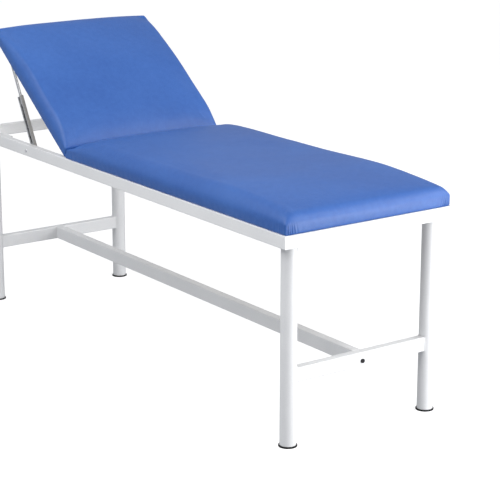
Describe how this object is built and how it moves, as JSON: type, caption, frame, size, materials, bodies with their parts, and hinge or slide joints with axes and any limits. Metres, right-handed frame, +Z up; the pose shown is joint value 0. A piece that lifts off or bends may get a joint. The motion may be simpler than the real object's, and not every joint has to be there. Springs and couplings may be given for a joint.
{
  "type": "examination couch",
  "caption": "Padded examination couch on four round legs, with a hinged backrest held up by ratchet stays.",
  "frame": {"origin": "on the floor, below the middle of the top frame", "axes": "+X towards the foot end, +Y towards the far long side, +Z up"},
  "size_m": [1.9, 0.6368, 1.0566],
  "materials": {
    "powder_coat_white": "satin white powder coat",
    "blue_vinyl": "satin vinyl-coated fabric with a fine grain",
    "plywood": "bare birch plywood",
    "zinc_steel": "bright zinc-plated steel",
    "black_rubber": "matt black moulded rubber",
    "black_steel": "black oxide"
  },
  "bodies": {
    "frame": {"near_side_rail": "powder_coat_white", "far_side_rail": "powder_coat_white", "head_rail": "powder_coat_white", "foot_rail": "powder_coat_white", "hinge_rail": "powder_coat_white", "middle_cross_rail": "powder_coat_white", "foot_cross_rail": "powder_coat_white", "near_head_corner_plate": "powder_coat_white", "near_head_leg": "powder_coat_white", "near_head_glide": "black_rubber", "near_foot_corner_plate": "powder_coat_white", "near_foot_leg": "powder_coat_white", "near_foot_glide": "black_rubber", "far_head_corner_plate": "powder_coat_white", "far_head_leg": "powder_coat_white", "far_head_glide": "black_rubber", "far_foot_corner_plate": "powder_coat_white", "far_foot_leg": "powder_coat_white", "far_foot_glide": "black_rubber", "leg_top_plugs": "zinc_steel", "leg_bolts": "zinc_steel", "head_stretcher": "powder_coat_white", "foot_stretcher": "powder_coat_white", "long_stretcher": "powder_coat_white", "stretcher_end_plugs": "zinc_steel", "stretcher_bolts": "black_steel", "stay_bolts": "zinc_steel", "stay_spacers": "zinc_steel", "stay_nuts": "zinc_steel", "fixed_leaf_screws": "zinc_steel", "near_hinge_fixed_leaf": "zinc_steel", "near_hinge_pin": "zinc_steel", "far_hinge_fixed_leaf": "zinc_steel", "far_hinge_pin": "zinc_steel", "main_board": "plywood", "main_pad": "blue_vinyl", "board_screws": "zinc_steel"},
    "backrest": {"backrest_board": "plywood", "backrest_pad": "blue_vinyl", "near_hinge_moving_leaf": "zinc_steel", "far_hinge_moving_leaf": "zinc_steel", "moving_leaf_screws": "zinc_steel", "near_stay_bracket": "zinc_steel", "far_stay_bracket": "zinc_steel", "bracket_screws": "zinc_steel", "bracket_rivets": "zinc_steel"},
    "near_stay_outer": {"near_stay_channel": "zinc_steel", "near_stay_rack": "zinc_steel"},
    "near_stay_inner": {"near_stay_bar": "zinc_steel"},
    "near_pawl": {"near_stay_pawl": "zinc_steel"},
    "far_stay_outer": {"far_stay_channel": "zinc_steel", "far_stay_rack": "zinc_steel"},
    "far_stay_inner": {"far_stay_bar": "zinc_steel"},
    "far_pawl": {"far_stay_pawl": "zinc_steel"}
  },
  "joints": [
    {"name": "backrest_tilt", "type": "hinge", "parent": "frame", "child": "backrest", "pos_m": [-0.3, 0, 0.6527], "axis": [0, 1, 0], "range_deg": [-36, 0]},
    {"name": "near_stay_swing", "type": "hinge", "parent": "frame", "child": "near_stay_outer", "pos_m": [-0.56, -0.279, 0.635], "axis": [0, 1, 0], "range_deg": [-59.62, 0]},
    {"name": "near_stay_slide", "type": "slide", "parent": "near_stay_outer", "child": "near_stay_inner", "axis": [-0.4798, 0, 0.8774], "range_m": [-0.0955, 0]},
    {"name": "near_pawl_tip", "type": "hinge", "parent": "near_stay_inner", "child": "near_pawl", "pos_m": [-0.64907, -0.279, 0.79998], "axis": [0, -1, 0], "range_deg": [0, 10], "stiffness_Nm_per_rad": 0.01, "springref_deg": -11.46},
    {"name": "far_stay_swing", "type": "hinge", "parent": "frame", "child": "far_stay_outer", "pos_m": [-0.56, 0.279, 0.635], "axis": [0, 1, 0], "range_deg": [-59.62, 0]},
    {"name": "far_stay_slide", "type": "slide", "parent": "far_stay_outer", "child": "far_stay_inner", "axis": [-0.4798, 0, 0.8774], "range_m": [-0.0955, 0]},
    {"name": "far_pawl_tip", "type": "hinge", "parent": "far_stay_inner", "child": "far_pawl", "pos_m": [-0.64907, 0.279, 0.79998], "axis": [0, -1, 0], "range_deg": [0, 10], "stiffness_Nm_per_rad": 0.01, "springref_deg": -11.46}
  ],
  "couplings": [
    {"joint": "near_stay_swing", "follows": "backrest_tilt", "ratio": 1.6558},
    {"joint": "near_stay_slide", "follows": "backrest_tilt", "m_per_rad": 0.15177},
    {"joint": "far_stay_swing", "follows": "backrest_tilt", "ratio": 1.6558},
    {"joint": "far_stay_slide", "follows": "backrest_tilt", "m_per_rad": 0.15177}
  ]
}
